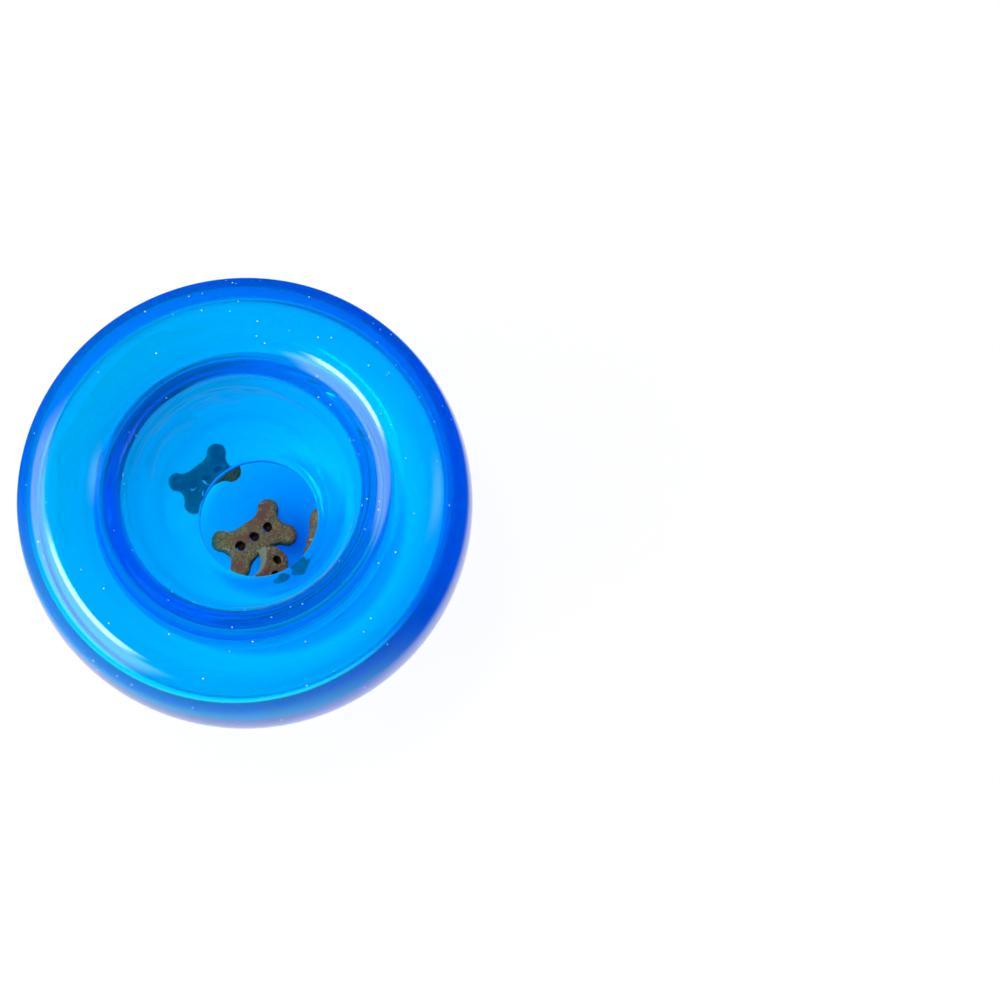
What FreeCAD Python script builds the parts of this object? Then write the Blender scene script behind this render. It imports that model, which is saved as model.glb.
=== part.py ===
"""A treat dispensing ball: a hollow rubber shell with a crater, and the biscuits loose inside it.

The frame stands on the ball's small flat foot: Z up through the middle of the crater and its hole,
the foot at Z 0. The shell is two mouldings, bonded at a tongue and groove where the hollow is
widest. Lengths are in millimetres and angles in degrees.
"""

import FreeCAD, Part

import math
import os

import Sketcher
from FreeCAD import Placement, Rotation, Vector

SHEET = "Sizes"

# Every driving size: its name, its value and what it measures.
SIZES = (
    ("ball_radius", 60.0, "outside of the ball"),
    ("foot_radius", 18.0, "flat face that the ball stands on"),
    ("foot_edge", 1.0, "round at the rim of the foot"),
    ("parting_height", 12.0, "joint of the two mouldings above the middle of the ball"),
    ("ball_wall", 6.7, "wall round the hollow where the hollow is widest"),
    ("chamber_straight", 6.7, "straight wall of the hollow below the joint"),
    ("gate_ring_radius", 5.2, "outside of the ring that the moulding's gate leaves in the floor"),
    ("gate_ring_width", 1.8, "width of that ring"),
    ("gate_ring_depth", 0.6, "depth of that ring below the floor beside it"),
    ("lip_radius", 13.7, "round of the fat lip, seen in section"),
    ("roof_radius", 7.6, "round of the hollow under the lip, seen in section"),
    ("throat_radius", 16.6, "hole at the bottom of the crater"),
    ("throat_drop", 31.5, "upper edge of the hole below the joint"),
    ("throat_length", 3.6, "length of the straight hole"),
    ("throat_rim", 2.4, "flat underside around the hole"),
    ("throat_edge", 0.5, "round on the two edges of the hole"),
    ("tongue_inset", 1.8, "inside of the tongue behind the wall of the hollow"),
    ("tongue_width", 1.8, "thickness of the tongue"),
    ("tongue_height", 2.0, "height of the tongue above the joint"),
    ("bond_gap", 0.06, "film of bond between tongue and groove"),
    ("biscuit_half_length", 9.0, "middle of a biscuit to the middles of its lobes, lengthwise"),
    ("biscuit_half_width", 5.6, "middle of a biscuit to the middles of its lobes, across"),
    ("lobe_radius", 3.0, "round of each of the four lobes"),
    ("waist_half_width", 3.6, "middle of a biscuit to its drawn-in sides"),
    ("notch_reach", 9.0, "middle of a biscuit to the notch between two lobes"),
    ("biscuit_thickness", 5.6, "thickness of a biscuit"),
    ("biscuit_edge", 1.3, "round on the edges of a biscuit"),
    ("hole_radius", 1.4, "three round holes pricked through a biscuit"),
    ("hole_pitch", 4.8, "distance from hole to hole"),
    ("break_reach", 3.6, "middle of the broken biscuit to its broken end, on the longer side"),
    ("break_slant", 3.2, "how much shorter the other side is broken"),
    ("break_round", 7.0, "bulge of the broken end"),
    ("seat_gap", 0.3, "space between a biscuit and the floor that it lies on"),
    ("lean_gap", 0.91, "space between the broken biscuit and the middle one"),
    ("stand_gap", 0.41, "space between the side biscuit and the broken one"),
)

VALUES = {name: value for name, value, _ in SIZES}

# How each biscuit lies: where it lies round the ball, how far out along the curved floor, how its
# length is turned and how it is rolled about its length. The last two lie as far out as their
# neighbour lets them.
MIDDLE_LIE = {"azimuth": 197.0, "reach": 4.84, "turn": 37.0, "roll": 0.0}
BACK_LIE = {"azimuth": 141.2, "reach": 29.49, "turn": 38.0, "roll": 0.0}
BROKEN_LIE = {"azimuth": 283.4, "turn": 89.0, "roll": 32.0}
SIDE_LIE = {"azimuth": 336.0, "turn": 77.0, "roll": -75.0}

FULL_TURN = 360.0
SEAT_FINENESS = 0.05
REACH_FINENESS = 0.005
SAME_PLACE = 1e-4


class Term:
    """A length known both as a number and as the formula that works it out from the sheet."""

    def __init__(self, value, text):
        self.value = value
        self.text = text

    @staticmethod
    def of(other):
        """Gives a plain number the same form as a length from the sheet."""
        return other if isinstance(other, Term) else Term(float(other), repr(float(other)))

    def __add__(self, other):
        other = Term.of(other)
        return Term(self.value + other.value, f"({self.text} + {other.text})")

    def __sub__(self, other):
        other = Term.of(other)
        return Term(self.value - other.value, f"({self.text} - {other.text})")

    def __mul__(self, other):
        other = Term.of(other)
        return Term(self.value * other.value, f"({self.text} * {other.text})")

    def __truediv__(self, other):
        other = Term.of(other)
        return Term(self.value / other.value, f"({self.text} / {other.text})")

    def __neg__(self):
        return Term(-self.value, f"(0 - {self.text})")

    def squared(self):
        """The length times itself."""
        return Term(self.value**2, f"({self.text} ^ 2)")

    def root(self):
        """The square root of an area."""
        return Term(math.sqrt(self.value), f"sqrt({self.text})")


def size(name):
    """The length of this name in the sheet."""
    return Term(VALUES[name], f"{SHEET}.{name}")


ZERO = Term(0.0, "0")


def third_side(long_side, short_side):
    """The other short side of a triangle with a square corner."""
    return (long_side.squared() - short_side.squared()).root()


# Sizes that follow from the driving ones. Heights are above the foot.
MIDDLE = third_side(size("ball_radius"), size("foot_radius"))
JOINT = MIDDLE + size("parting_height")
JOINT_RADIUS = third_side(size("ball_radius"), size("parting_height"))
CHAMBER_RADIUS = size("ball_radius") - size("ball_wall")
TONGUE_RADIUS = CHAMBER_RADIUS + size("tongue_inset")
LIP_MIDDLE = third_side(size("ball_radius") - size("lip_radius"), size("parting_height"))
LIP_SHARE = size("ball_radius") / (size("ball_radius") - size("lip_radius"))
MOUTH_RADIUS = LIP_MIDDLE - size("lip_radius")
ROOF_MIDDLE = CHAMBER_RADIUS - size("roof_radius")
FLOOR_MIDDLE = JOINT - size("chamber_straight")
FLOOR = FLOOR_MIDDLE - CHAMBER_RADIUS
THROAT_TOP = JOINT - size("throat_drop")
THROAT_FOOT = THROAT_TOP - size("throat_length")


def make_sheet(doc):
    """Writes the driving sizes into a sheet, one name to a cell."""
    sheet = doc.addObject("Spreadsheet::Sheet", SHEET)
    for row, (name, value, note) in enumerate(SIZES, start=1):
        sheet.set(f"A{row}", name)
        sheet.set(f"B{row}", str(value))
        sheet.setAlias(f"B{row}", name)
        sheet.set(f"C{row}", note)
    doc.recompute()
    return sheet


def origin_plane(body, role):
    """The plane of this role in the body's own origin."""
    return next(item for item in body.Origin.OriginFeatures if item.Role == role)


def new_sketch(body, name, role):
    """An empty sketch on one of the body's own planes."""
    sketch = body.newObject("Sketcher::SketchObject", name)
    sketch.AttachmentSupport = [(origin_plane(body, role), "")]
    sketch.MapMode = "FlatFace"
    return sketch


def bind(sketch, index, term):
    """Ties one measured constraint of a sketch to the sheet."""
    sketch.setExpression(f"Constraints[{index}]", term.text)


def pin(sketch, curve, end, place):
    """Holds one end of a curve at a place worked out from the sheet."""
    for kind, term in (("DistanceX", place[0]), ("DistanceY", place[1])):
        if term.text == ZERO.text:
            axis = -2 if kind == "DistanceX" else -1
            sketch.addConstraint(Sketcher.Constraint("PointOnObject", curve, end, axis))
        else:
            wanted = Sketcher.Constraint(kind, -1, 1, curve, end, term.value)
            bind(sketch, sketch.addConstraint(wanted), term)


def arc_through(start, end, radius, left):
    """The arc from start to end with its middle on the left or the right of that way.

    Returns the arc, which always runs anticlockwise, and whether it starts at the start.
    """
    chord = end - start
    middle = (start + end) * 0.5
    side = Vector(-chord.y, chord.x, 0).normalize() * (1 if left else -1)
    away = math.sqrt(max(radius**2 - (chord.Length / 2) ** 2, 0.0))
    centre = middle + side * away
    first, last = (start, end) if left else (end, start)
    begin = math.atan2(first.y - centre.y, first.x - centre.x)
    finish = math.atan2(last.y - centre.y, last.x - centre.x)
    if finish <= begin:
        finish += 2 * math.pi
    circle = Part.Circle(centre, Vector(0, 0, 1), radius)
    return Part.ArcOfCircle(circle, begin, finish), left


def draw_outline(sketch, start, runs):
    """Draws a closed outline of straight and round runs, each corner and radius tied to the sheet.

    A run is its end, and for a round one also its radius and whether its middle lies on the left.
    """
    places = [start] + [run[0] for run in runs]
    ends = []
    for here, run in zip(places, runs):
        first = Vector(here[0].value, here[1].value, 0)
        last = Vector(run[0][0].value, run[0][1].value, 0)
        if len(run) == 1:
            curve = sketch.addGeometry(Part.LineSegment(first, last), False)
            ends.append((curve, 1, 2))
            continue
        arc, forward = arc_through(first, last, run[1].value, run[2])
        curve = sketch.addGeometry(arc, False)
        ends.append((curve, 1, 2) if forward else (curve, 2, 1))
    for number, (curve, _, last) in enumerate(ends):
        following = ends[(number + 1) % len(ends)]
        joined = Sketcher.Constraint("Coincident", curve, last, following[0], following[1])
        sketch.addConstraint(joined)
        pin(sketch, curve, last, runs[number][0])
    for (curve, _, _), run in zip(ends, runs):
        if len(run) > 1:
            wanted = Sketcher.Constraint("Radius", curve, run[1].value)
            bind(sketch, sketch.addConstraint(wanted), run[1])


def spin_profile(body, name, start, runs):
    """Turns an outline, drawn beside the Z axis, once round that axis."""
    sketch = new_sketch(body, f"{name}_outline", "XZ_Plane")
    draw_outline(sketch, start, runs)
    turned = body.newObject("PartDesign::Revolution", f"{name}_turned")
    turned.Profile = sketch
    turned.ReferenceAxis = (sketch, ["V_Axis"])
    turned.Angle = FULL_TURN
    sketch.Visibility = False
    body.Document.recompute()
    return turned


def round_edges(body, name, base, radius, wanted):
    """Rounds the edges of a solid that the test picks."""
    picked = [
        f"Edge{number}"
        for number, edge in enumerate(base.Shape.Edges, start=1)
        if not edge.Degenerated and wanted(edge)
    ]
    rounded = body.newObject("PartDesign::Fillet", name)
    rounded.Base = (base, picked)
    rounded.Radius = radius.value
    rounded.setExpression("Radius", radius.text)
    body.Document.recompute()
    return rounded


def ring_edge(radius, height):
    """A test for the round edge of this radius at this height."""

    def test(edge):
        curve = edge.Curve
        return (
            isinstance(curve, Part.Circle)
            and abs(curve.Radius - radius.value) < SAME_PLACE
            and abs(curve.Center.z - height.value) < SAME_PLACE
        )

    return test


def make_bowl(doc):
    """The lower moulding: foot, thick round wall, floor with its gate ring, rim with a tongue."""
    body = doc.addObject("PartDesign::Body", "bowl_shell")
    body.Label = "bowl_shell"
    radius = size("ball_radius")
    tongue_out = TONGUE_RADIUS + size("tongue_width")
    tongue_top = JOINT + size("tongue_height")
    ring_out = size("gate_ring_radius")
    ring_in = ring_out - size("gate_ring_width")
    ring_out_foot = FLOOR_MIDDLE - third_side(CHAMBER_RADIUS, ring_out)
    ring_in_foot = FLOOR_MIDDLE - third_side(CHAMBER_RADIUS, ring_in)
    ring_bed = ring_in_foot - size("gate_ring_depth")
    runs = [
        ((size("foot_radius"), ZERO),),
        ((radius, MIDDLE), radius, True),
        ((JOINT_RADIUS, JOINT), radius, True),
        ((tongue_out, JOINT),),
        ((tongue_out, tongue_top),),
        ((TONGUE_RADIUS, tongue_top),),
        ((TONGUE_RADIUS, JOINT),),
        ((CHAMBER_RADIUS, JOINT),),
        ((CHAMBER_RADIUS, FLOOR_MIDDLE),),
        ((ring_out, ring_out_foot), CHAMBER_RADIUS, False),
        ((ring_out, ring_bed),),
        ((ring_in, ring_bed),),
        ((ring_in, ring_in_foot),),
        ((ZERO, FLOOR), CHAMBER_RADIUS, False),
        ((ZERO, ZERO),),
    ]
    turned = spin_profile(body, "bowl", (ZERO, ZERO), runs)
    at_foot = ring_edge(size("foot_radius"), ZERO)
    round_edges(body, "bowl_foot_round", turned, size("foot_edge"), at_foot)
    return body


def make_crater(doc):
    """The upper moulding: shoulder and fat lip, the crater's wall and the straight throat."""
    body = doc.addObject("PartDesign::Body", "crater_shell")
    body.Label = "crater_shell"
    radius = size("ball_radius")
    lip = size("lip_radius")
    roof = size("roof_radius")
    throat = size("throat_radius")
    rim = throat + size("throat_rim")
    gap = size("bond_gap")
    groove_in = TONGUE_RADIUS - gap
    groove_out = TONGUE_RADIUS + size("tongue_width") + gap
    groove_top = JOINT + size("tongue_height") + gap
    tangent = (LIP_MIDDLE * LIP_SHARE, MIDDLE + size("parting_height") * LIP_SHARE)
    lip_top = (LIP_MIDDLE, JOINT + lip)
    roof_in = ROOF_MIDDLE - roof
    wall_curve = bowl_radius(MOUTH_RADIUS, throat, size("throat_drop"))
    under_drop = size("throat_drop") + size("throat_length")
    under_curve = bowl_radius(roof_in, rim, under_drop)
    runs = [
        (tangent, radius, True),
        (lip_top, lip, True),
        ((MOUTH_RADIUS, JOINT), lip, True),
        ((throat, THROAT_TOP), wall_curve, False),
        ((throat, THROAT_FOOT),),
        ((rim, THROAT_FOOT),),
        ((roof_in, JOINT), under_curve, True),
        ((ROOF_MIDDLE, JOINT + roof), roof, False),
        ((CHAMBER_RADIUS, JOINT), roof, False),
        ((groove_in, JOINT),),
        ((groove_in, groove_top),),
        ((groove_out, groove_top),),
        ((groove_out, JOINT),),
        ((JOINT_RADIUS, JOINT),),
    ]
    turned = spin_profile(body, "crater", (JOINT_RADIUS, JOINT), runs)
    upper = ring_edge(throat, THROAT_TOP)
    lower = ring_edge(throat, THROAT_FOOT)
    round_edges(
        body,
        "throat_round",
        turned,
        size("throat_edge"),
        lambda edge: upper(edge) or lower(edge),
    )
    return body


def bowl_radius(top_radius, foot_radius, drop):
    """The curve of a wall that starts straight down at its top and meets its foot."""
    inward = top_radius - foot_radius
    return (inward.squared() + drop.squared()) / (inward * 2)


def biscuit_outline(sketch):
    """The bone: four round lobes, two drawn-in sides and a notch at each end, all tangent."""
    across = size("biscuit_half_width")
    along = size("biscuit_half_length")
    lobe = size("lobe_radius")
    dip = size("waist_half_width") - across
    waist = (along.squared() + dip.squared() - lobe.squared()) / ((lobe - dip) * 2)
    waist_middle = waist + size("waist_half_width")
    past = size("notch_reach") - along
    notch = (past.squared() + across.squared() - lobe.squared()) / ((lobe - past) * 2)
    notch_middle = size("notch_reach") + notch
    to_waist = lobe / (lobe + waist)
    to_notch = lobe / (lobe + notch)
    waist_x = along - along * to_waist
    waist_y = across + (waist_middle - across) * to_waist
    notch_x = along + (notch_middle - along) * to_notch
    notch_y = across - across * to_notch
    corners = [
        ((notch_x, -notch_y), (notch_x, notch_y)),
        ((waist_x, waist_y), (-waist_x, waist_y)),
        ((-notch_x, notch_y), (-notch_x, -notch_y)),
        ((-waist_x, -waist_y), (waist_x, -waist_y)),
    ]
    hollows = [notch, waist, notch, waist]
    runs = []
    for number, hollow in enumerate(hollows):
        runs.append((corners[number][1], hollow, False))
        following = corners[(number + 1) % len(corners)][0]
        runs.append((following, lobe, True))
    draw_outline(sketch, corners[0][0], runs)


def pad_biscuit(doc, name):
    """A bone biscuit, flat in its own frame, with round edges."""
    body = doc.addObject("PartDesign::Body", name)
    body.Label = name
    outline = new_sketch(body, f"{name}_outline", "XY_Plane")
    biscuit_outline(outline)
    pad = body.newObject("PartDesign::Pad", f"{name}_pad")
    pad.Profile = outline
    pad.Midplane = True
    pad.Length = VALUES["biscuit_thickness"]
    pad.setExpression("Length", size("biscuit_thickness").text)
    doc.recompute()
    half = VALUES["biscuit_thickness"] / 2

    def on_face(edge):
        return all(abs(abs(corner.Z) - half) < SAME_PLACE for corner in edge.Vertexes)

    rounded = round_edges(body, f"{name}_round", pad, size("biscuit_edge"), on_face)
    return body, rounded


def cut_through(body, name, sketch, before):
    """Cuts a sketch right through a biscuit, and checks that it took something away."""
    pocket = body.newObject("PartDesign::Pocket", name)
    pocket.Profile = sketch
    pocket.Midplane = True
    pocket.Type = "ThroughAll"
    body.Document.recompute()
    if pocket.Shape.Volume > before - SAME_PLACE:
        raise ValueError(f"{name} cuts nothing away")
    return pocket


def prick_holes(body, before, places):
    """The round holes pricked through a biscuit, in line along its length."""
    sketch = new_sketch(body, f"{body.Label}_holes", "XY_Plane")
    for place in places:
        centre = Vector(place.value, 0, 0)
        circle = Part.Circle(centre, Vector(0, 0, 1), VALUES["hole_radius"])
        curve = sketch.addGeometry(circle, False)
        pin(sketch, curve, 3, (place, ZERO))
        wanted = Sketcher.Constraint("Radius", curve, VALUES["hole_radius"])
        bind(sketch, sketch.addConstraint(wanted), size("hole_radius"))
    return cut_through(body, f"{body.Label}_pricked", sketch, before.Shape.Volume)


def make_whole_biscuit(doc, name):
    """A biscuit with its three holes."""
    body, rounded = pad_biscuit(doc, name)
    pitch = size("hole_pitch")
    prick_holes(body, rounded, (-pitch, ZERO, pitch))
    return body


def make_broken_biscuit(doc, name):
    """A biscuit with one end broken off aslant, just past its middle hole."""
    body, rounded = pad_biscuit(doc, name)
    pitch = size("hole_pitch")
    pricked = prick_holes(body, rounded, (-pitch, ZERO))
    sketch = new_sketch(body, f"{name}_break", "XY_Plane")
    long_side = size("break_reach")
    short_side = long_side - size("break_slant")
    waist = size("waist_half_width")
    beyond = size("lobe_radius") * 2
    far = size("biscuit_half_length") + beyond
    side = size("biscuit_half_width") + beyond
    runs = [
        ((far, -side),),
        ((far, side),),
        ((long_side, side),),
        ((long_side, waist),),
        ((short_side, -waist), size("break_round"), False),
        ((short_side, -side),),
    ]
    draw_outline(sketch, (short_side, -side), runs)
    cut_through(body, f"{name}_broken", sketch, pricked.Shape.Volume)
    return body


def floor_placement(points, lie, reach):
    """Where a biscuit lies once it is lowered to its gap above the floor, this far along it."""
    up = Vector(0, 0, 1)
    along = Vector(1, 0, 0)
    across = Vector(0, 1, 0)
    to_place = Rotation(up, lie["azimuth"])
    climb = Rotation(across, -math.degrees(reach / CHAMBER_RADIUS.value))
    from_place = Rotation(up, -lie["azimuth"])
    floor = to_place.multiply(climb).multiply(from_place)
    turned = floor.multiply(Rotation(up, lie["turn"])).multiply(Rotation(along, lie["roll"]))
    way = floor.multVec(Vector(0, 0, -1))
    limit = CHAMBER_RADIUS.value - VALUES["seat_gap"]
    drop = math.inf
    for point in points:
        place = turned.multVec(point)
        ahead = place.dot(way)
        room = ahead**2 - place.Length**2 + limit**2
        drop = min(drop, math.sqrt(room) - ahead)
    centre = Vector(0, 0, FLOOR_MIDDLE.value)
    return Placement(centre + way * drop, turned)


def seat(body, lie):
    """Lays a biscuit on the floor, as far out as its lie says."""
    points = body.Shape.tessellate(SEAT_FINENESS)[0]
    body.Placement = floor_placement(points, lie, lie["reach"])


def seat_beside(body, lie, neighbour, gap):
    """Lays a biscuit on the floor, just so far out that it keeps its gap to a neighbour."""
    points = body.Shape.tessellate(SEAT_FINENESS)[0]
    near = 0.0
    far = CHAMBER_RADIUS.value
    while far - near > REACH_FINENESS:
        reach = (near + far) / 2
        body.Placement = floor_placement(points, lie, reach)
        if body.Shape.distToShape(neighbour.Shape)[0] < gap.value:
            near = reach
        else:
            far = reach
    body.Placement = floor_placement(points, lie, far)


def check(doc, bodies):
    """Stops the build if any feature failed or any piece isn't one sound solid."""
    for item in doc.Objects:
        bad = [state for state in item.State if state in ("Invalid", "Error")]
        if bad:
            raise ValueError(f"{item.Name} is {bad}")
    for body in bodies:
        shape = body.Shape
        if shape.isNull() or not shape.isValid() or len(shape.Solids) != 1:
            raise ValueError(f"{body.Label} is not one sound solid")


def main():
    """Builds the ball and its biscuits, and writes one file for each piece."""
    os.makedirs("parts", exist_ok=True)
    doc = FreeCAD.newDocument("treat_dispensing_toy")
    make_sheet(doc)
    shells = [make_bowl(doc), make_crater(doc)]
    middle = make_whole_biscuit(doc, "middle_biscuit")
    back = make_whole_biscuit(doc, "back_biscuit")
    broken = make_broken_biscuit(doc, "broken_biscuit")
    side = make_whole_biscuit(doc, "side_biscuit")
    seat(middle, MIDDLE_LIE)
    seat(back, BACK_LIE)
    seat_beside(broken, BROKEN_LIE, middle, size("lean_gap"))
    seat_beside(side, SIDE_LIE, broken, size("stand_gap"))
    loose = [middle, back, side, broken]
    doc.recompute()
    check(doc, shells + loose)
    for body in shells + loose:
        body.Shape.exportStep(f"parts/{body.Label}.step")
        box = body.Shape.BoundBox
        print(f"{body.Label}: {body.Shape.Volume:.0f} mm3, Z {box.ZMin:.2f} to {box.ZMax:.2f}")


main()
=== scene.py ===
"""A see-through blue rubber treat ball with bone biscuits loose inside it, in a white studio.

Lengths are in millimetres, apart from those of the paper, the lamps and the meshes, which are in
metres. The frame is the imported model's own: Z up through the middle of the crater, the foot at
Z 0, the viewer in front at -Y.
"""

import logging
import math
import random
from dataclasses import dataclass
from enum import Enum

import bmesh
import bpy
import numpy as np
from mathutils import Matrix, Vector, noise
from mathutils.bvhtree import BVHTree

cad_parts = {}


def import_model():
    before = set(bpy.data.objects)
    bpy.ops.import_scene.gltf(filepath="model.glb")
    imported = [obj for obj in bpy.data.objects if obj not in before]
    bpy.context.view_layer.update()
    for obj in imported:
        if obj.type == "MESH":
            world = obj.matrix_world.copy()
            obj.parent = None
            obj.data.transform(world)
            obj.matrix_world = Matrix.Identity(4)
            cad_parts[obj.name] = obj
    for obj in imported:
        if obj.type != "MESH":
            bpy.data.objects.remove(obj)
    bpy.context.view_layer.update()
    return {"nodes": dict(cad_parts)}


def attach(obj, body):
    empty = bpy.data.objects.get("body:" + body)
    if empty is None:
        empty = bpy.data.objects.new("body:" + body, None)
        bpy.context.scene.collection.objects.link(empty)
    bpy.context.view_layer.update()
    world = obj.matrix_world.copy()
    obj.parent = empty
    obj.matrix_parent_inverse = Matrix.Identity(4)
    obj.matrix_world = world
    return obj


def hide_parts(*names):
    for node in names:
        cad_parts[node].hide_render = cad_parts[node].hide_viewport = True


MM = 0.001
ON_AXIS = 1e-6
SIDE_SHARE = "side_share"
# Where the holes take their darker bake and painted shade.
HOLE_SHADE_SHARE = "hole_share"
LOG = logging.getLogger("treat_ball")

Point = tuple[float, float]
Colour = tuple[float, float, float, float]

WHITE: Colour = (1.0, 1.0, 1.0, 1.0)
# Painted reflection: the dim blue that only mirrored and bent rays see, in the room and far paper.
PAINTED_REFLECTION_BLUE = "#005ae6"


def linear(hex_colour: str) -> Colour:
    """Turns an sRGB hex colour to linear light.

    Args:
        hex_colour: Six hex digits after a hash sign.

    Returns:
        Red, green and blue in linear light, and an alpha of 1.
    """
    digits = hex_colour.lstrip("#")
    parts = [int(digits[place : place + 2], 16) / 255 for place in (0, 2, 4)]
    red, green, blue = (
        part / 12.92 if part <= 0.04045 else ((part + 0.055) / 1.055) ** 2.4 for part in parts
    )
    return red, green, blue, 1.0


def add_node(
    tree: bpy.types.NodeTree, kind: str, settings: dict | None = None, links: dict | None = None
) -> bpy.types.Node:
    """Adds one node with its settings and links.

    Args:
        tree: The node tree that takes the node.
        kind: Blender's name for the kind of node.
        settings: Values by name. A name that is no property of the node is one of its sockets.
        links: Output sockets by the name or number of the input that each feeds.

    Returns:
        The new node.
    """
    node = tree.nodes.new(kind)
    for name, value in (settings or {}).items():
        if isinstance(name, str) and hasattr(node, name):
            setattr(node, name, value)
        else:
            node.inputs[name].default_value = value
    for name, output in (links or {}).items():
        tree.links.new(output, node.inputs[name])
    return node


def mirrored_share(tree: bpy.types.NodeTree, path: bpy.types.Node) -> bpy.types.NodeSocket:
    """Tells the rays that a mirror or clear rubber has turned from all others.

    Args:
        tree: The node tree.
        path: Its node for the light's path.

    Returns:
        An output that is 1 for those rays and 0 for the others.
    """
    either = add_node(
        tree,
        "ShaderNodeMath",
        {"operation": "MAXIMUM"},
        {0: path.outputs["Is Glossy Ray"], 1: path.outputs["Is Transmission Ray"]},
    )
    return either.outputs[0]


def new_material(name: str) -> tuple[bpy.types.Material, bpy.types.NodeTree]:
    """Makes a material with an empty node tree.

    Args:
        name: What the material is called.

    Returns:
        The material and its node tree.
    """
    material = bpy.data.materials.new(name)
    material.use_nodes = True
    material.node_tree.nodes.clear()
    return material, material.node_tree


def link_object(name: str, data: bpy.types.ID) -> bpy.types.Object:
    """Puts a mesh, a light or a camera in the scene.

    Args:
        name: What the object is called.
        data: The mesh, light or camera.

    Returns:
        The object.
    """
    made = bpy.data.objects.new(name, data)
    bpy.context.scene.collection.objects.link(made)
    return made


@dataclass(frozen=True)
class ClearRubber:
    """Thermoplastic rubber, injection moulded in a polished tool and tinted right through.

    It looks like thick blue glass with a trace of milk in it: the wall darkens where the eye runs
    along it, and its face is glossy with the faint waviness of a soft moulding.
    """

    name: str = "tinted_moulded_tpr"
    tint: str = "#00eefe"
    shade: str = "#c8deff"
    absorbed: str = "#00f4ff"
    density: float = 270.0
    clearness: float = 0.93
    ior: float = 1.5
    roughness: float = 0.01
    wave_mm: float = 22.0
    wave_height_mm: float = 0.02

    def build(self) -> bpy.types.Material:
        """Makes the material.

        Returns:
            Clear, tinted rubber that lets lamps through and swallows red and green on the way.
        """
        material, tree = new_material(self.name)
        place = add_node(tree, "ShaderNodeTexCoord")
        wave = add_node(
            tree,
            "ShaderNodeTexNoise",
            {"Scale": 1 / (self.wave_mm * MM), "Detail": 1.0},
            {"Vector": place.outputs["Object"]},
        )
        bump = add_node(
            tree,
            "ShaderNodeBump",
            {"Strength": 1.0, "Distance": self.wave_height_mm * MM},
            {"Height": wave.outputs["Fac"]},
        )
        body = add_node(
            tree,
            "ShaderNodeBsdfPrincipled",
            {
                "Base Color": linear(self.tint),
                "Transmission Weight": self.clearness,
                "IOR": self.ior,
                "Roughness": self.roughness,
            },
            {"Normal": bump.outputs["Normal"]},
        )
        passing = add_node(tree, "ShaderNodeBsdfTransparent", {"Color": linear(self.shade)})
        light = add_node(tree, "ShaderNodeLightPath")
        surface = add_node(
            tree,
            "ShaderNodeMixShader",
            links={0: light.outputs["Is Shadow Ray"], 1: body.outputs[0], 2: passing.outputs[0]},
        )
        inside = add_node(
            tree,
            "ShaderNodeVolumeAbsorption",
            {"Color": linear(self.absorbed), "Density": self.density},
        )
        add_node(
            tree,
            "ShaderNodeOutputMaterial",
            links={"Surface": surface.outputs[0], "Volume": inside.outputs[0]},
        )
        return material


@dataclass(frozen=True)
class Spots:
    """Soft spots of a real size on a surface.

    The edges are the noise values at which a spot begins and is full.
    """

    size_mm: float
    detail: float
    edges: tuple[float, float]

    def draw(
        self, tree: bpy.types.NodeTree, place: bpy.types.NodeSocket
    ) -> bpy.types.NodeSocket:
        """Draws the spots.

        Args:
            tree: The material's node tree.
            place: Where on the piece each point lies.

        Returns:
            An output that is 1 in a spot and 0 outside it.
        """
        cloud = add_node(
            tree,
            "ShaderNodeTexNoise",
            {"Scale": 1 / (self.size_mm * MM), "Detail": self.detail},
            {"Vector": place},
        )
        ramp = add_node(
            tree,
            "ShaderNodeMapRange",
            {"From Min": self.edges[0], "From Max": self.edges[1]},
            {"Value": cloud.outputs["Fac"]},
        )
        return ramp.outputs["Result"]


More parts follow.
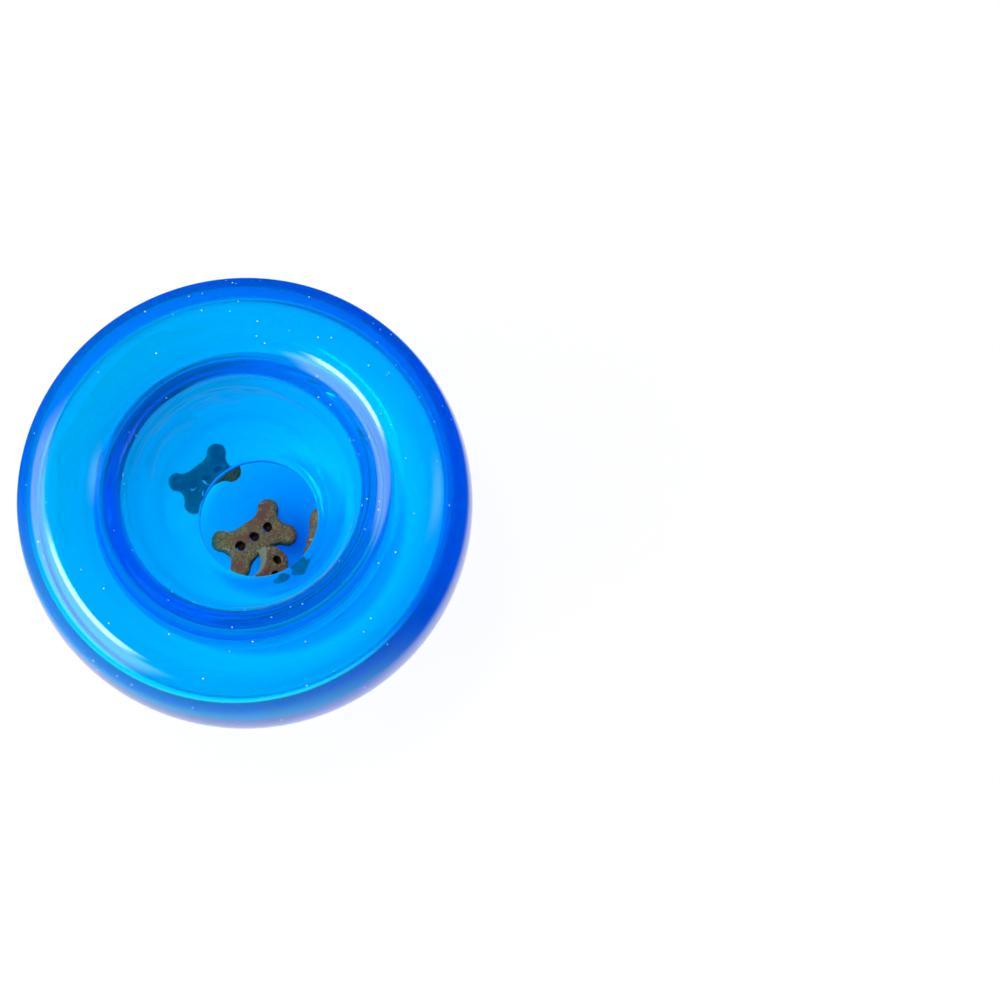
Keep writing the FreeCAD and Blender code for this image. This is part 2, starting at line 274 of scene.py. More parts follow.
@dataclass(frozen=True)
class BakedDough:
    """Bone meal dough, stamped out and baked dry: matt, grainy, browner where the oven caught it.

    Its faces are brown with reddish patches and pale crumbs, and its cut sides stay pale tan.
    """

    name: str = "baked_dough"
    crust: str = "#9a8044"
    crust_dark: str = "#664e2c"
    toasted: str = "#865030"
    side: str = "#b4945a"
    # The pricked holes and their plugs: a darker bake and painted shade.
    pricked: str = "#3e2816"
    crumb: str = "#c0a880"
    patches: Spots = Spots(5.0, 2.0, (0.5, 0.64))
    grains: Spots = Spots(0.7, 4.0, (0.34, 0.66))
    crumbs: Spots = Spots(1.5, 3.0, (0.65, 0.74))
    pore_mm: float = 0.5
    pore_depth_mm: float = 0.4
    pore_detail: float = 3.0
    pore_roughness: float = 0.7
    roughness: float = 0.85
    ior: float = 1.45

    def build(self) -> bpy.types.Material:
        """Makes the material.

        Returns:
            A matt brown crust with patches, grain and pale crumbs, and paler cut sides.
        """
        material, tree = new_material(self.name)
        place = add_node(tree, "ShaderNodeTexCoord").outputs["Object"]
        pores = add_node(
            tree,
            "ShaderNodeTexNoise",
            {
                "Scale": 1 / (self.pore_mm * MM),
                "Detail": self.pore_detail,
                "Roughness": self.pore_roughness,
            },
            {"Vector": place},
        )
        bump = add_node(
            tree,
            "ShaderNodeBump",
            {"Strength": 1.0, "Distance": self.pore_depth_mm * MM},
            {"Height": pores.outputs["Fac"]},
        )
        body = add_node(
            tree,
            "ShaderNodeBsdfPrincipled",
            {"Roughness": self.roughness, "IOR": self.ior},
            {"Base Color": self.colour(tree, place), "Normal": bump.outputs["Normal"]},
        )
        add_node(tree, "ShaderNodeOutputMaterial", links={"Surface": body.outputs[0]})
        return material

    def colour(
        self, tree: bpy.types.NodeTree, place: bpy.types.NodeSocket
    ) -> bpy.types.NodeSocket:
        """Colours crust and cut sides, and darkens the pricked holes: darker bake and painted
        shade.

        Args:
            tree: The material's node tree.
            place: Where on the piece each point lies.

        Returns:
            The colour's output.
        """
        cut = add_node(tree, "ShaderNodeAttribute", {"attribute_name": SIDE_SHARE})
        pricked = add_node(tree, "ShaderNodeAttribute", {"attribute_name": HOLE_SHADE_SHARE})
        grains = self.grains.draw(tree, place)
        top = self.blend(tree, grains, linear(self.crust_dark), linear(self.crust))
        top = self.blend(tree, self.patches.draw(tree, place), top, linear(self.toasted))
        top = self.blend(tree, cut.outputs["Fac"], top, linear(self.side))
        # The holes darken: partly their darker bake, partly painted shade.
        top = self.blend(tree, pricked.outputs["Fac"], top, linear(self.pricked))
        return self.blend(tree, self.crumbs.draw(tree, place), top, linear(self.crumb))

    def blend(
        self,
        tree: bpy.types.NodeTree,
        share: bpy.types.NodeSocket,
        first: bpy.types.NodeSocket | Colour,
        second: Colour,
    ) -> bpy.types.NodeSocket:
        """Blends two colours.

        Args:
            tree: The material's node tree.
            share: How much of the second colour shows.
            first: A colour, or an output that gives one.
            second: The other colour.

        Returns:
            The blended colour's output.
        """
        mix = add_node(tree, "ShaderNodeMix", {"data_type": "RGBA", 7: second}, {0: share})
        if isinstance(first, bpy.types.NodeSocket):
            tree.links.new(first, mix.inputs[6])
        else:
            mix.inputs[6].default_value = first
        return mix.outputs[2]


@dataclass(frozen=True)
class MicaFlake:
    """Pearl mica flakes, stirred into the rubber before moulding: tiny points of pale light."""

    name: str = "pearl_mica"
    colour: str = "#f4fbff"
    roughness: float = 0.3
    ior: float = 1.6

    def build(self) -> bpy.types.Material:
        """Makes the material.

        Returns:
            Pale flakes with a soft gloss.
        """
        material, tree = new_material(self.name)
        body = add_node(
            tree,
            "ShaderNodeBsdfPrincipled",
            {"Base Color": linear(self.colour), "Roughness": self.roughness, "IOR": self.ior},
        )
        add_node(tree, "ShaderNodeOutputMaterial", links={"Surface": body.outputs[0]})
        return material


@dataclass(frozen=True)
class PaperSweep:
    """A white paper sweep: plain white to the eye, with a faint shadow of the ball.

    In the rubber the paper shows painted light, not the lamps' light: white under the wall,
    a painted blue for the light through the ball's middle, painted pale cyan toward the window
    and the painted blue reflection of the room elsewhere. Its lengths are in metres.
    """

    name: str = "white_paper"
    colour: str = "#f6f6f6"
    seen_share: float = 0.95
    # Painted light and shade that mirrored rays see on the paper, set by place.
    lit_strength: float = 1.25
    lit_place: tuple[float, float, float] = (-0.006, 0.0, 0.0)
    lit_reach: tuple[float, float] = (0.086, 0.1)
    through_place: tuple[float, float, float] = (0.006, 0.0, 0.0)
    through_reach: float = 0.06
    # Painted under the ball: a blue shadow at its middle, white light under its wall.
    through: tuple[tuple[float, str], ...] = (
        (0.06, "#0056c0"),
        (0.18, "#0084da"),
        (0.33, "#00a6e6"),
        (0.47, "#00bcec"),
        (0.56, "#f8f8f8"),
        (0.90, "#d8dde2"),
    )
    # Painted pale cyan light toward the window, and painted room blue elsewhere.
    window_side: tuple[float, float, float] = (-0.35, -0.937, 0.0)
    window_spread: tuple[float, float] = (0.1, 0.9)
    window_light: str = "#8cf2ff"
    window_gain: float = 1.2

    def build(self) -> bpy.types.Material:
        """Makes the material.

        Returns:
            White paper, white to the camera and painted light to mirrored rays; lamplit to others.
        """
        material, tree = new_material(self.name)
        paper = add_node(
            tree, "ShaderNodeBsdfDiffuse", {"Color": linear(self.colour), "Roughness": 1.0}
        )
        white = add_node(tree, "ShaderNodeEmission", {"Color": WHITE, "Strength": 1.0})
        path = add_node(tree, "ShaderNodeLightPath")
        plain = add_node(
            tree,
            "ShaderNodeMixShader",
            {0: self.seen_share},
            {1: paper.outputs[0], 2: white.outputs[0]},
        )
        shown = add_node(
            tree,
            "ShaderNodeMixShader",
            links={0: path.outputs["Is Camera Ray"], 1: paper.outputs[0], 2: plain.outputs[0]},
        )
        # Painted light: for mirrored rays the paper glows in a colour set by place.
        lit = add_node(
            tree, "ShaderNodeEmission", {"Strength": self.lit_strength}, {"Color": self.lit(tree)}
        )
        mix = add_node(
            tree,
            "ShaderNodeMixShader",
            links={0: mirrored_share(tree, path), 1: shown.outputs[0], 2: lit.outputs[0]},
        )
        add_node(tree, "ShaderNodeOutputMaterial", links={"Surface": mix.outputs[0]})
        return material

    def lit(self, tree: bpy.types.NodeTree) -> bpy.types.NodeSocket:
        """Paints light and shade on the paper by place, for mirrored rays.

        Args:
            tree: The material's node tree.

        Returns:
            The colour's output.
        """
        place = add_node(tree, "ShaderNodeTexCoord").outputs["Object"]
        beyond = add_node(
            tree,
            "ShaderNodeMapRange",
            {
                "interpolation_type": "SMOOTHSTEP",
                "From Min": self.lit_reach[0],
                "From Max": self.lit_reach[1],
            },
            {"Value": self.distance(tree, place, self.lit_place)},
        )
        mix = add_node(
            tree,
            "ShaderNodeMix",
            {"data_type": "RGBA"},
            {0: beyond.outputs["Result"], 6: self.below(tree, place), 7: self.around(tree, place)},
        )
        return mix.outputs[2]

    def distance(
        self,
        tree: bpy.types.NodeTree,
        place: bpy.types.NodeSocket,
        centre: tuple[float, float, float],
    ) -> bpy.types.NodeSocket:
        """Measures how far each place lies from a point.

        Args:
            tree: The material's node tree.
            place: Where on the paper each place lies.
            centre: The point.

        Returns:
            The distance's output.
        """
        aside = add_node(
            tree, "ShaderNodeVectorMath", {"operation": "SUBTRACT", 1: centre}, {0: place}
        )
        length = add_node(
            tree, "ShaderNodeVectorMath", {"operation": "LENGTH"}, {0: aside.outputs[0]}
        )
        return length.outputs["Value"]

    def below(
        self, tree: bpy.types.NodeTree, place: bpy.types.NodeSocket
    ) -> bpy.types.NodeSocket:
        """Paints shade and light on the paper under the ball by the distance from its middle.

        Args:
            tree: The material's node tree.
            place: Where on the paper each place lies.

        Returns:
            The colour's output.
        """
        share = add_node(
            tree,
            "ShaderNodeMath",
            {"operation": "DIVIDE", 1: self.through_reach},
            {0: self.distance(tree, place, self.through_place)},
        )
        ramp = add_node(tree, "ShaderNodeValToRGB", links={0: share.outputs[0]})
        stops = ramp.color_ramp.elements
        for stop, (position, _) in zip(stops, (self.through[0], self.through[-1])):
            stop.position = position
        for position, _ in self.through[1:-1]:
            stops.new(position)
        for stop, (_, colour) in zip(stops, self.through):
            stop.color = linear(colour)
        return ramp.outputs[0]

    def around(
        self, tree: bpy.types.NodeTree, place: bpy.types.NodeSocket
    ) -> bpy.types.NodeSocket:
        """Paints light on the paper round the ball, brighter on the side of the window.

        Args:
            tree: The material's node tree.
            place: Where on the paper each place lies.

        Returns:
            The colour's output.
        """
        heading = add_node(tree, "ShaderNodeVectorMath", {"operation": "NORMALIZE"}, {0: place})
        toward = add_node(
            tree,
            "ShaderNodeVectorMath",
            {"operation": "DOT_PRODUCT", 1: self.window_side},
            {0: heading.outputs[0]},
        )
        window = add_node(
            tree,
            "ShaderNodeMapRange",
            {
                "interpolation_type": "SMOOTHSTEP",
                "From Min": self.window_spread[0],
                "From Max": self.window_spread[1],
            },
            {"Value": toward.outputs["Value"]},
        )
        bright = tuple(part * self.window_gain for part in linear(self.window_light))
        mix = add_node(
            tree,
            "ShaderNodeMix",
            {"data_type": "RGBA", 6: linear(PAINTED_REFLECTION_BLUE), 7: bright},
            {0: window.outputs["Result"]},
        )
        return mix.outputs[2]


def arc(centre: Point, radius: float, begin: float, end: float, step: float) -> list[Point]:
    """Points along a round, without its first, and never fewer than three.

    Args:
        centre: Middle of the round.
        radius: Its radius.
        begin: Angle at which it begins, in radians.
        end: Angle at which it ends.
        step: Longest distance from point to point.

    Returns:
        The points in order, the last one at the end angle.
    """
    pieces = max(3, math.ceil(abs(end - begin) * radius / step))
    turns = (begin + (end - begin) * piece / pieces for piece in range(1, pieces + 1))
    return [(centre[0] + radius * math.cos(t), centre[1] + radius * math.sin(t)) for t in turns]


@dataclass
class RubberShell:
    """The whole hollow ball in clear rubber, its two mouldings bonded so that no joint shows."""

    body: str = "ball"
    ball_radius: float = 60.0
    foot_radius: float = 18.0
    foot_edge: float = 1.0
    parting_height: float = 12.0
    chamber_radius: float = 53.3
    chamber_straight: float = 6.7
    gate_ring_radius: float = 5.2
    gate_ring_width: float = 1.8
    gate_ring_depth: float = 0.6
    gate_ring_slope: float = 0.1
    lip_radius: float = 13.7
    roof_radius: float = 7.6
    throat_radius: float = 16.6
    throat_drop: float = 31.5
    throat_length: float = 3.6
    throat_rim: float = 2.4
    throat_edge: float = 0.5
    segments: int = 192
    step: float = 1.4
    foot_step: float = 0.3
    throat_step: float = 0.12
    straight_steps: int = 5

    @property
    def middle(self) -> float:
        """Height of the ball's middle above the foot."""
        return math.sqrt(self.ball_radius**2 - self.foot_radius**2)

    @property
    def joint(self) -> float:
        """Height at which the hollow is widest."""
        return self.middle + self.parting_height

    @property
    def floor_middle(self) -> float:
        """Height of the middle of the curved floor."""
        return self.joint - self.chamber_straight

    @property
    def lip_middle(self) -> float:
        """Distance of the middle of the lip's round from the axis."""
        return math.sqrt((self.ball_radius - self.lip_radius) ** 2 - self.parting_height**2)

    def outside(self) -> list[Point]:
        """Draws the outline from the foot up over the lip.

        Returns:
            Points from the middle of the foot to the lip's inner side.
        """
        middle = (0.0, self.middle)
        edge = self.foot_edge
        reach = math.sqrt((self.ball_radius - edge) ** 2 - (self.middle - edge) ** 2)
        edge_middle = (reach, edge)
        meets = math.atan2(edge - self.middle, reach)
        leans = math.atan2(self.parting_height, self.lip_middle)
        points = [(0.0, 0.0), (reach / 2, 0.0), (reach, 0.0)]
        points += arc(edge_middle, edge, -math.pi / 2, meets, self.foot_step)
        points += arc(middle, self.ball_radius, meets, leans, self.step)
        lip = (self.lip_middle, self.joint)
        return points + arc(lip, self.lip_radius, leans, math.pi, self.step)

    def crater(self) -> list[Point]:
        """Draws the crater's wall and the straight throat with its two small rounds.

        Returns:
            Points from the lip's inner side to the outer edge of the throat's flat rim.
        """
        mouth = self.lip_middle - self.lip_radius
        foot = self.joint - self.throat_drop - self.throat_length
        edge = self.throat_edge
        inward = mouth - self.throat_radius
        curve = (inward**2 + self.throat_drop**2) / (inward * 2)
        centre = (mouth - curve, self.joint)
        # The small round touches the wall's curve from outside and the throat from within.
        edge_r = self.throat_radius + edge
        fall = math.sqrt((curve + edge) ** 2 - (edge_r - centre[0]) ** 2)
        edge_z = self.joint - fall
        turn = math.atan2(edge_z - centre[1], edge_r - centre[0])
        step = self.throat_step
        points = arc(centre, curve, 0.0, turn, self.step)
        points += arc((edge_r, edge_z), edge, turn + math.pi, math.pi, step)
        points += [(self.throat_radius, (edge_z + foot) / 2)]
        points += [(self.throat_radius, foot + edge)]
        points += arc((edge_r, foot + edge), edge, math.pi, math.pi * 1.5, step)
        return points + [(self.throat_radius + self.throat_rim, foot)]

    def hollow(self) -> list[Point]:
        """Draws the crater's underside, the hollow's roof and wall, and the floor.

        Returns:
            Points from the throat's rim to the middle of the floor, with the gate ring in it.
        """
        roof_middle = self.chamber_radius - self.roof_radius
        roof_in = roof_middle - self.roof_radius
        rim = self.throat_radius + self.throat_rim
        drop = self.throat_drop + self.throat_length
        inward = roof_in - rim
        curve = (inward**2 + drop**2) / (inward * 2)
        centre = (roof_in - curve, self.joint)
        start = math.atan2(-drop, rim - centre[0])
        points = arc(centre, curve, start, 0.0, self.step)
        points += arc((roof_middle, self.joint), self.roof_radius, math.pi, 0.0, self.step)
        fall = self.chamber_straight / self.straight_steps
        for number in range(1, self.straight_steps):
            points.append((self.chamber_radius, self.joint - fall * number))
        points += [(self.chamber_radius, self.floor_middle)]
        floor = (0.0, self.floor_middle)
        ring_out = self.gate_ring_radius
        ring_in = ring_out - self.gate_ring_width
        slope = self.gate_ring_slope
        outer = -math.acos(ring_out / self.chamber_radius)
        inner = -math.acos(ring_in / self.chamber_radius)
        level = self.floor_middle + self.chamber_radius * math.sin(inner)
        bed = level - self.gate_ring_depth
        points += arc(floor, self.chamber_radius, 0.0, outer, self.step)
        points += [(ring_out - slope, bed), (ring_in + slope, bed), (ring_in, level)]
        return points + arc(floor, self.chamber_radius, inner, -math.pi / 2, self.step)

    def ring(self, made: bmesh.types.BMesh, reach: float, height: float) -> list:
        """Turns one point of the outline round the axis.

        Args:
            made: The mesh that takes the ring.
            reach: The point's distance from the axis.
            height: Its height.

        Returns:
            One vertex for each segment, all of them the same one where the point is on the axis.
        """
        if reach < ON_AXIS:
            return [made.verts.new((0.0, 0.0, height * MM))] * self.segments
        ring = []
        for number in range(self.segments):
            turn = math.tau * number / self.segments
            across = (reach * MM * math.cos(turn), reach * MM * math.sin(turn))
            ring.append(made.verts.new((*across, height * MM)))
        return ring

    def mesh(self) -> bpy.types.Mesh:
        """Turns the outline once round the axis.

        Returns:
            A closed, smooth mesh.
        """
        made = bmesh.new()
        outline = self.outside() + self.crater() + self.hollow()
        rings = [self.ring(made, reach, height) for reach, height in outline]
        for lower, upper in zip(rings, rings[1:]):
            for number in range(self.segments):
                following = (number + 1) % self.segments
                corners = (lower[number], lower[following], upper[following], upper[number])
                face = made.faces.new(list(dict.fromkeys(corners)))
                face.smooth = True
        bmesh.ops.recalc_face_normals(made, faces=made.faces)
        mesh = bpy.data.meshes.new("clear_shell")
        made.to_mesh(mesh)
        made.free()
        return mesh

    def build(self, rubber: bpy.types.Material) -> bpy.types.Object:
        """Makes the shell and puts it in place of the two mouldings.

        Args:
            rubber: What it is moulded in.

        Returns:
            The shell.
        """
        shell = link_object("clear_shell", self.mesh())
        shell.data.materials.append(rubber)
        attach(shell, self.body)
        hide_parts("bowl_shell", "crater_shell")
        return shell


class BiscuitForm(Enum):
    """How much of a biscuit is left."""

    WHOLE = "whole"
    BROKEN = "broken"


@dataclass
class Biscuit:
    """One bone biscuit, its surface puffed and pitted by baking."""

    node: str
    body: str
    seed: float
    form: BiscuitForm = BiscuitForm.WHOLE
    voxel: float = 0.3
    puff: float = 0.28
    puff_size: float = 4.0
    pit: float = 0.18
    pit_size: float = 0.9
    pit_level: float = 0.3
    pit_octaves: int = 3
    hole_width: float = 3.0
    # Dark plugs low in the pricked holes stand in for their shade.
    shade_plug_depth: float = 1.0
    shade_plug_thickness: float = 0.8
    shade_plug_radius: float = 1.15
    shade_plug_shift: float = 0.6
    shade_plug_sides: int = 16
    waist: float = 0.0
    waist_reach: float = 7.0
    waist_clear: float = 1.8
    waist_blend: float = 1.5
    side_lean: float = 0.75
    side_blend: float = 0.4
    side_sure: float = 0.9
    side_paleness: float = 0.15

    def thicken(self, offsets: np.ndarray, axes: np.ndarray) -> np.ndarray:
        """Fills out the waist between the knobs, clear of the pricked holes.

        Args:
            offsets: Places of the biscuit's points from its middle.
            axes: Its directions in columns: through it, across it and along it.

        Returns:
            How far each point moves.
        """
        along = offsets @ axes[:, 2] / MM
        across = offsets @ axes[:, 1] / MM
        near = np.clip(1 - np.abs(along) / self.waist_reach, 0.0, 1.0)
        beside = np.clip((np.abs(across) - self.waist_clear) / self.waist_blend, 0.0, 1.0)
        move = self.waist * MM * np.sin(near * math.pi / 2) ** 2 * beside * np.sign(across)
        return np.outer(move, axes[:, 1])

    def fill_holes(self, mesh: bpy.types.Mesh, walls: np.ndarray, thin: np.ndarray) -> None:
        """Plugs the lower end of each pricked hole dark, as painted shade, so no light shows
        through.

        Args:
            mesh: The biscuit's fine mesh, which takes the plugs.
            walls: Places of the points on the holes' walls.
            thin: Direction through the biscuit.
        """
        down = Vector(thin) * (-1.0 if thin[2] > 0 else 1.0)
        turned = down.to_track_quat("Z", "Y").to_matrix().to_4x4()
        shift = (down * self.shade_plug_depth + Vector((0, self.shade_plug_shift, 0))) * MM
        made = bmesh.new()
        made.from_mesh(mesh)
        left = walls
        while len(left):
            flat = left - np.outer((left - left[0]) @ thin, thin)
            near = np.linalg.norm(flat - flat[0], axis=1) < self.hole_width * MM
            hole = left[near]
            left = left[~near]
            middle = Vector((hole.min(axis=0) + hole.max(axis=0)) / 2)
            bmesh.ops.create_cone(
                made,
                cap_ends=True,
                segments=self.shade_plug_sides,
                radius1=self.shade_plug_radius * MM,
                radius2=self.shade_plug_radius * MM,
                depth=self.shade_plug_thickness * MM,
                matrix=Matrix.Translation(middle + shift) @ turned,
            )
        made.to_mesh(mesh)
        made.free()

    def refine(self, solid: bpy.types.Mesh) -> bpy.types.Mesh:
        """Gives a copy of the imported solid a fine, even mesh.

        Args:
            solid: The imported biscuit's mesh.

        Returns:
            The fine mesh.
        """
        rough = link_object(f"{self.node}_rough", solid.copy())
        rough.data.materials.clear()
        remesh = rough.modifiers.new("fine", "REMESH")
        remesh.mode = "VOXEL"
        remesh.voxel_size = self.voxel * MM
        graph = bpy.context.evaluated_depsgraph_get()
        mesh = bpy.data.meshes.new_from_object(rough.evaluated_get(graph))
        bpy.data.objects.remove(rough)
        return mesh

    def find_holes(self, mesh: bpy.types.Mesh) -> np.ndarray:
        """Finds the points from which the biscuit goes on within a hole's width.

        Args:
            mesh: The biscuit's fine mesh.

        Returns:
            For each point, whether it faces another part of the biscuit across a hole.
        """
        outline = BVHTree.FromPolygons(
            [vertex.co for vertex in mesh.vertices], [face.vertices for face in mesh.polygons]
        )
        start = self.voxel * MM
        reach = self.hole_width * MM
        hits = (
            outline.ray_cast(vertex.co + vertex.normal * start, vertex.normal, reach)[0]
            for vertex in mesh.vertices
        )
        return np.array([hit is not None for hit in hits])

    def roughen(self, mesh: bpy.types.Mesh, normals: np.ndarray, moves: np.ndarray) -> None:
        """Puffs and pits the surface, and leaves the plugs as they are.

        Args:
            mesh: The biscuit's fine mesh, its plugs behind its own points.
            normals: Directions out of the biscuit at its own points.
            moves: How far those points move besides.
        """
        # Each biscuit takes its own part of the noise.
        offset = Vector((self.seed, self.seed * 0.37, -self.seed))
        for vertex, normal, move in zip(mesh.vertices, normals, moves):
            spot = vertex.co / MM
            swell = noise.noise(spot / self.puff_size + offset)
            grit = noise.fractal(spot / self.pit_size + offset, 1.0, 2.0, self.pit_octaves)
            lift = (swell * self.puff + (grit - self.pit_level) * self.pit) * MM
            vertex.co += Vector(normal) * lift + Vector(move)

    def mesh(self, solid: bpy.types.Mesh) -> bpy.types.Mesh:
        """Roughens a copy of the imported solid.

        Args:
            solid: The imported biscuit's mesh.

        Returns:
            A fine mesh of the same size with an uneven, grainy surface.
        """
        mesh = self.refine(solid)
        places = np.array([vertex.co[:] for vertex in mesh.vertices])
        normals = np.array([vertex.normal[:] for vertex in mesh.vertices])
        offsets = places - places.mean(axis=0)
        axes = np.linalg.eigh(np.cov(offsets.T))[1]
        thin = axes[:, 0]
        in_hole = self.find_holes(mesh)
        side = np.clip((self.side_lean - np.abs(normals @ thin)) / self.side_blend, 0.0, 1.0)
        self.fill_holes(mesh, places[in_hole & (side > self.side_sure)], thin)
        extra = len(mesh.vertices) - len(places)
        side = np.concatenate([side, np.ones(extra)])
        # The plugs take the painted hole shade.
        in_hole = np.concatenate([in_hole, np.ones(extra, dtype=bool)])
        pale = 1.0 if self.form is BiscuitForm.BROKEN else self.side_paleness
        for name, value in ((SIDE_SHARE, side * ~in_hole * pale), (HOLE_SHADE_SHARE, side * in_hole)):
            share = mesh.attributes.new(name, "FLOAT", "POINT")
            share.data.foreach_set("value", value)
        self.roughen(mesh, normals, self.thicken(offsets, axes))
        for polygon in mesh.polygons:
            polygon.use_smooth = True
        return mesh

    def build(self, nodes: dict, dough: bpy.types.Material) -> bpy.types.Object:
        """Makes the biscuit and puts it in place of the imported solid.

        Args:
            nodes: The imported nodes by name.
            dough: What it is baked of.

        Returns:
            The biscuit.
        """
        baked = link_object(f"baked_{self.node}", self.mesh(nodes[self.node].data))
        baked.data.materials.append(dough)
        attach(baked, self.body)
        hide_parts(self.node)
        return baked


@dataclass
class Glitter:
    """Small flakes that lie in the skin of the ball, one in three in its wall, the rest in its lip.

    Rises and turns are in degrees, and the lowest place is the sine of its rise.
    """

    body: str = "ball"
    count: int = 150
    seed: int = 7
    smallest: float = 0.09
    largest: float = 0.19
    taper: float = 0.85
    sides: int = 6
    thickness: float = 0.06
    proud: float = 0.03
    wall_every: int = 3
    wall_lowest: float = -0.75
    wall_highest: float = 14.0
    lip_begin: float = 20.0

    def wall_place(self, shell: RubberShell, chance: random.Random) -> tuple[Vector, Vector]:
        """Picks a place in the skin of the wall.

        Args:
            shell: The ball that holds the flakes.
            chance: The seeded source of chance.

        Returns:
            The place and the direction out of the wall there.
        """
        turn = chance.uniform(0, math.tau)
        highest = math.sin(math.radians(self.wall_highest))
        rise = math.asin(chance.uniform(self.wall_lowest, highest))
        out = Vector(
            (math.cos(rise) * math.cos(turn), math.cos(rise) * math.sin(turn), math.sin(rise))
        )
        return Vector((0, 0, shell.middle)) + out * (shell.ball_radius + self.proud), out

    def lip_place(self, shell: RubberShell, chance: random.Random) -> tuple[Vector, Vector]:
        """Picks a place in the skin of the fat lip.

        Args:
            shell: The ball that holds the flakes.
            chance: The seeded source of chance.

        Returns:
            The place and the direction out of the lip there.
        """
        turn = chance.uniform(0, math.tau)
        round_lip = chance.uniform(math.radians(self.lip_begin), math.pi)
        flat = Vector((math.cos(turn), math.sin(turn), 0))
        out = flat * math.cos(round_lip) + Vector((0, 0, math.sin(round_lip)))
        reach = shell.lip_radius + self.proud
        return flat * shell.lip_middle + Vector((0, 0, shell.joint)) + out * reach, out

    def build(self, shell: RubberShell, mica: bpy.types.Material) -> bpy.types.Object:
        """Makes the flakes as one mesh.

        Args:
            shell: The ball that holds them.
            mica: What they are.

        Returns:
            The flakes.
        """
        chance = random.Random(self.seed)
        made = bmesh.new()
        for number in range(self.count):
            pick = self.lip_place if number % self.wall_every else self.wall_place
            place, out = pick(shell, chance)
            radius = chance.uniform(self.smallest, self.largest) * MM
            turned = out.to_track_quat("Z", "Y").to_matrix().to_4x4()
            bmesh.ops.create_cone(
                made,
                cap_ends=True,
                segments=self.sides,
                radius1=radius,
                radius2=radius * self.taper,
                depth=self.thickness * MM,
                matrix=Matrix.Translation(place * MM) @ turned,
            )
        mesh = bpy.data.meshes.new("mica_flakes")
        made.to_mesh(mesh)
        made.free()
        flakes = link_object("mica_flakes", mesh)
        flakes.data.materials.append(mica)
        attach(flakes, self.body)
        return flakes


@dataclass(frozen=True)
class Lamp:
    """One softbox, aimed at the ball. Its lengths are in metres and its power in watts."""

    name: str
    place: tuple[float, float, float]
    width: float
    height: float
    power: float
    mirrored: bool = True
    soft_edge: float = 0.5
    aim: tuple[float, float, float] = (0.0, 0.0, 0.05)

    def build(self) -> None:
        """Hangs the lamp."""
        light = bpy.data.lights.new(self.name, "AREA")
        light.shape = "RECTANGLE"
        light.size = self.width
        light.size_y = self.height
        light.energy = self.power
        self.soften(light)
        lamp = link_object(self.name, light)
        lamp.location = self.place
        lamp.visible_glossy = self.mirrored
        lamp.visible_transmission = self.mirrored
        aim = Vector(self.aim) - lamp.location
        lamp.rotation_euler = aim.to_track_quat("-Z", "Y").to_euler()

    def soften(self, light: bpy.types.Light) -> None:
        """Makes the lamp brightest in its middle and dark at its edges.

        Args:
            light: The lamp's light.
        """
        light.use_nodes = True
        tree = light.node_tree
        tree.nodes.clear()
        spot = add_node(tree, "ShaderNodeNewGeometry").outputs["Parametric"]
        sides = add_node(tree, "ShaderNodeSeparateXYZ", links={0: spot}).outputs[:2]
        share = add_node(tree, "ShaderNodeMath", {"operation": "MULTIPLY"})
        for number, side in enumerate(sides):
            # A side runs from 0 to 1, so this is how far off the nearer edge is.
            off = add_node(tree, "ShaderNodeMath", {"operation": "PINGPONG", 1: 0.5}, {0: side})
            rise = add_node(
                tree,
                "ShaderNodeMapRange",
                {"interpolation_type": "SMOOTHSTEP", "From Max": self.soft_edge},
                {"Value": off.outputs[0]},
            )
            tree.links.new(rise.outputs["Result"], share.inputs[number])
        glow = add_node(tree, "ShaderNodeEmission", links={"Strength": share.outputs[0]})
        add_node(tree, "ShaderNodeOutputLight", links={"Surface": glow.outputs[0]})


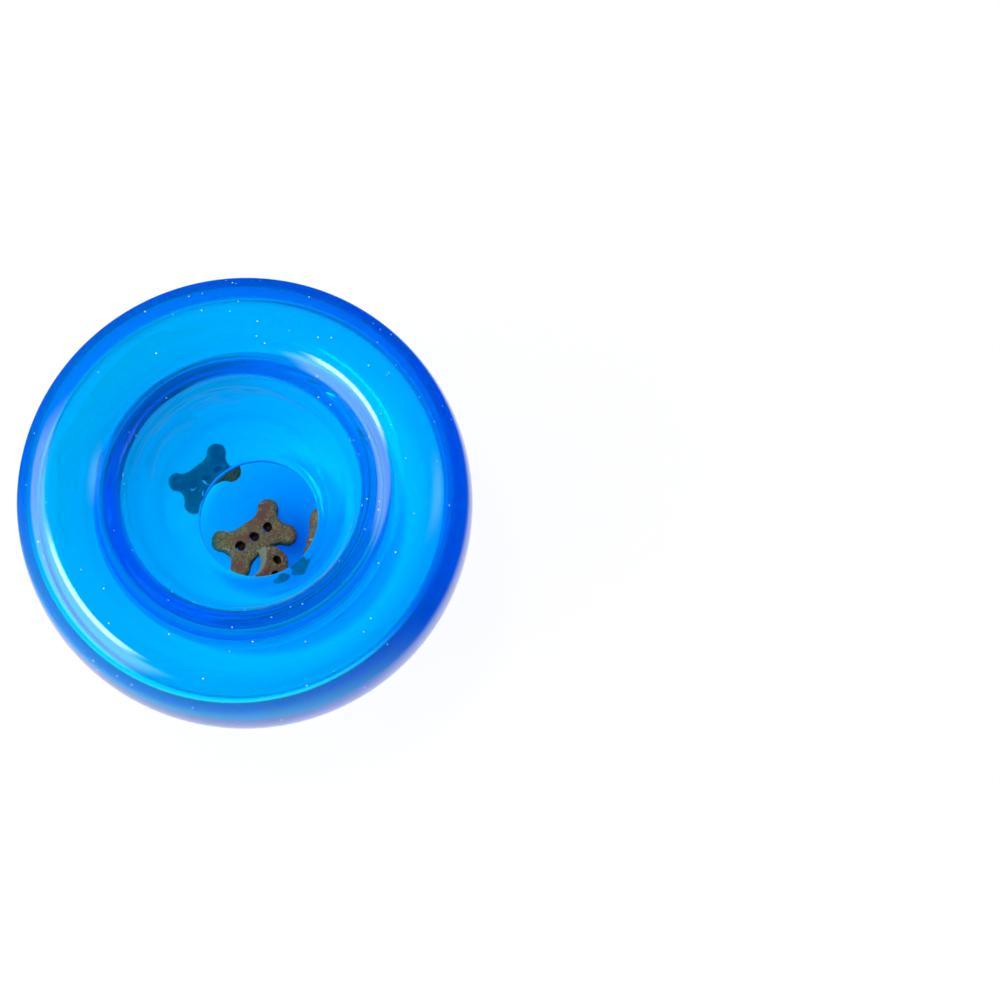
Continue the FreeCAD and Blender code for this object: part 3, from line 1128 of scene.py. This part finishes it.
@dataclass
class Studio:
    """A white sweep, soft lamps at both sides and the camera, nearly overhead.

    The sweep is sized in metres, and the camera's place and distance are in millimetres.
    """

    sweep_half: float = 2.0
    sweep_height: float = -0.0001
    fill_strength: float = 0.45
    camera_aim: tuple[float, float, float] = (67.3, 0.82, 57.236)
    camera_distance: float = 480.0
    camera_rise: float = 77.8
    lens: float = 64.51
    sensor_width: float = 36.0
    clip: tuple[float, float] = (0.01, 20.0)
    bounces: int = 32
    lamps: tuple[Lamp, ...] = (
        Lamp("left_softbox", (-0.95, -0.2, 0.56), 2.0, 0.86, 17.0, soft_edge=0.2),
        Lamp("left_strip", (-0.7, -0.25, 0.84), 0.8, 0.24, 9.0, soft_edge=0.3),
        Lamp("right_softbox", (1.1, 0.2, 0.75), 0.7, 0.8, 3.0),
        Lamp("top_lamp", (-0.1, 0.1, 0.9), 0.12, 0.12, 14.0, mirrored=False),
    )

    def sweep(self, paper: bpy.types.Material) -> None:
        """Lays the paper under the ball.

        Args:
            paper: The sweep's material.
        """
        half = self.sweep_half
        low = self.sweep_height
        corners = [(-half, -half, low), (half, -half, low), (half, half, low), (-half, half, low)]
        mesh = bpy.data.meshes.new("paper_sweep")
        mesh.from_pydata(corners, [], [(0, 1, 2, 3)])
        floor = link_object("paper_sweep", mesh)
        floor.data.materials.append(paper)

    def sky(self) -> None:
        """Lights the room evenly grey, white to the camera, painted blue to mirrored rays."""
        world = bpy.data.worlds.new("room")
        bpy.context.scene.world = world
        world.use_nodes = True
        tree = world.node_tree
        tree.nodes.clear()
        path = add_node(tree, "ShaderNodeLightPath")
        fill = (self.fill_strength,) * 3 + (1.0,)
        # Painted reflection: rays that the rubber mirrors or bends see the room blue.
        dim = add_node(
            tree,
            "ShaderNodeMix",
            {"data_type": "RGBA", 6: fill, 7: linear(PAINTED_REFLECTION_BLUE)},
            {0: mirrored_share(tree, path)},
        )
        seen = add_node(
            tree,
            "ShaderNodeMix",
            {"data_type": "RGBA", 7: WHITE},
            {0: path.outputs["Is Camera Ray"], 6: dim.outputs[2]},
        )
        room = add_node(
            tree, "ShaderNodeBackground", {"Strength": 1.0}, {"Color": seen.outputs[2]}
        )
        add_node(tree, "ShaderNodeOutputWorld", links={"Surface": room.outputs[0]})

    def camera(self) -> None:
        """Sets up the camera as the photograph has it."""
        rise = math.radians(self.camera_rise)
        aim = Vector(self.camera_aim) * MM
        away = Vector((0.0, -math.cos(rise), math.sin(rise))) * self.camera_distance * MM
        data = bpy.data.cameras.new("camera")
        data.lens = self.lens
        data.sensor_width = self.sensor_width
        data.clip_start, data.clip_end = self.clip
        camera = link_object("camera", data)
        camera.location = aim + away
        camera.rotation_euler = (-away).to_track_quat("-Z", "Y").to_euler()
        bpy.context.scene.camera = camera

    def build(self) -> None:
        """Sets up the camera, the paper, the room and the lamps."""
        self.camera()
        self.sweep(PaperSweep().build())
        self.sky()
        for lamp in self.lamps:
            lamp.build()
        scene = bpy.context.scene
        scene.view_settings.view_transform = "Standard"
        scene.cycles.max_bounces = self.bounces
        scene.cycles.glossy_bounces = self.bounces
        scene.cycles.transmission_bounces = self.bounces


def main() -> None:
    """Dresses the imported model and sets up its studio."""
    logging.basicConfig(level=logging.INFO, format="%(name)s: %(message)s")
    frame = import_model()
    Studio().build()
    shell = RubberShell()
    pieces = [shell.build(ClearRubber().build())]
    dough = BakedDough().build()
    biscuits = (
        Biscuit("middle_biscuit", "middle_treat", 3.1, waist=1.3),
        Biscuit("back_biscuit", "back_treat", 11.7, waist=1.2),
        Biscuit("side_biscuit", "side_treat", 23.9),
        Biscuit("broken_biscuit", "broken_treat", 37.3, BiscuitForm.BROKEN),
    )
    pieces += [biscuit.build(frame["nodes"], dough) for biscuit in biscuits]
    pieces.append(Glitter().build(shell, MicaFlake().build()))
    for piece in pieces:
        LOG.info("%s: %d faces", piece.name, len(piece.data.polygons))


if __name__ == "__main__":
    main()
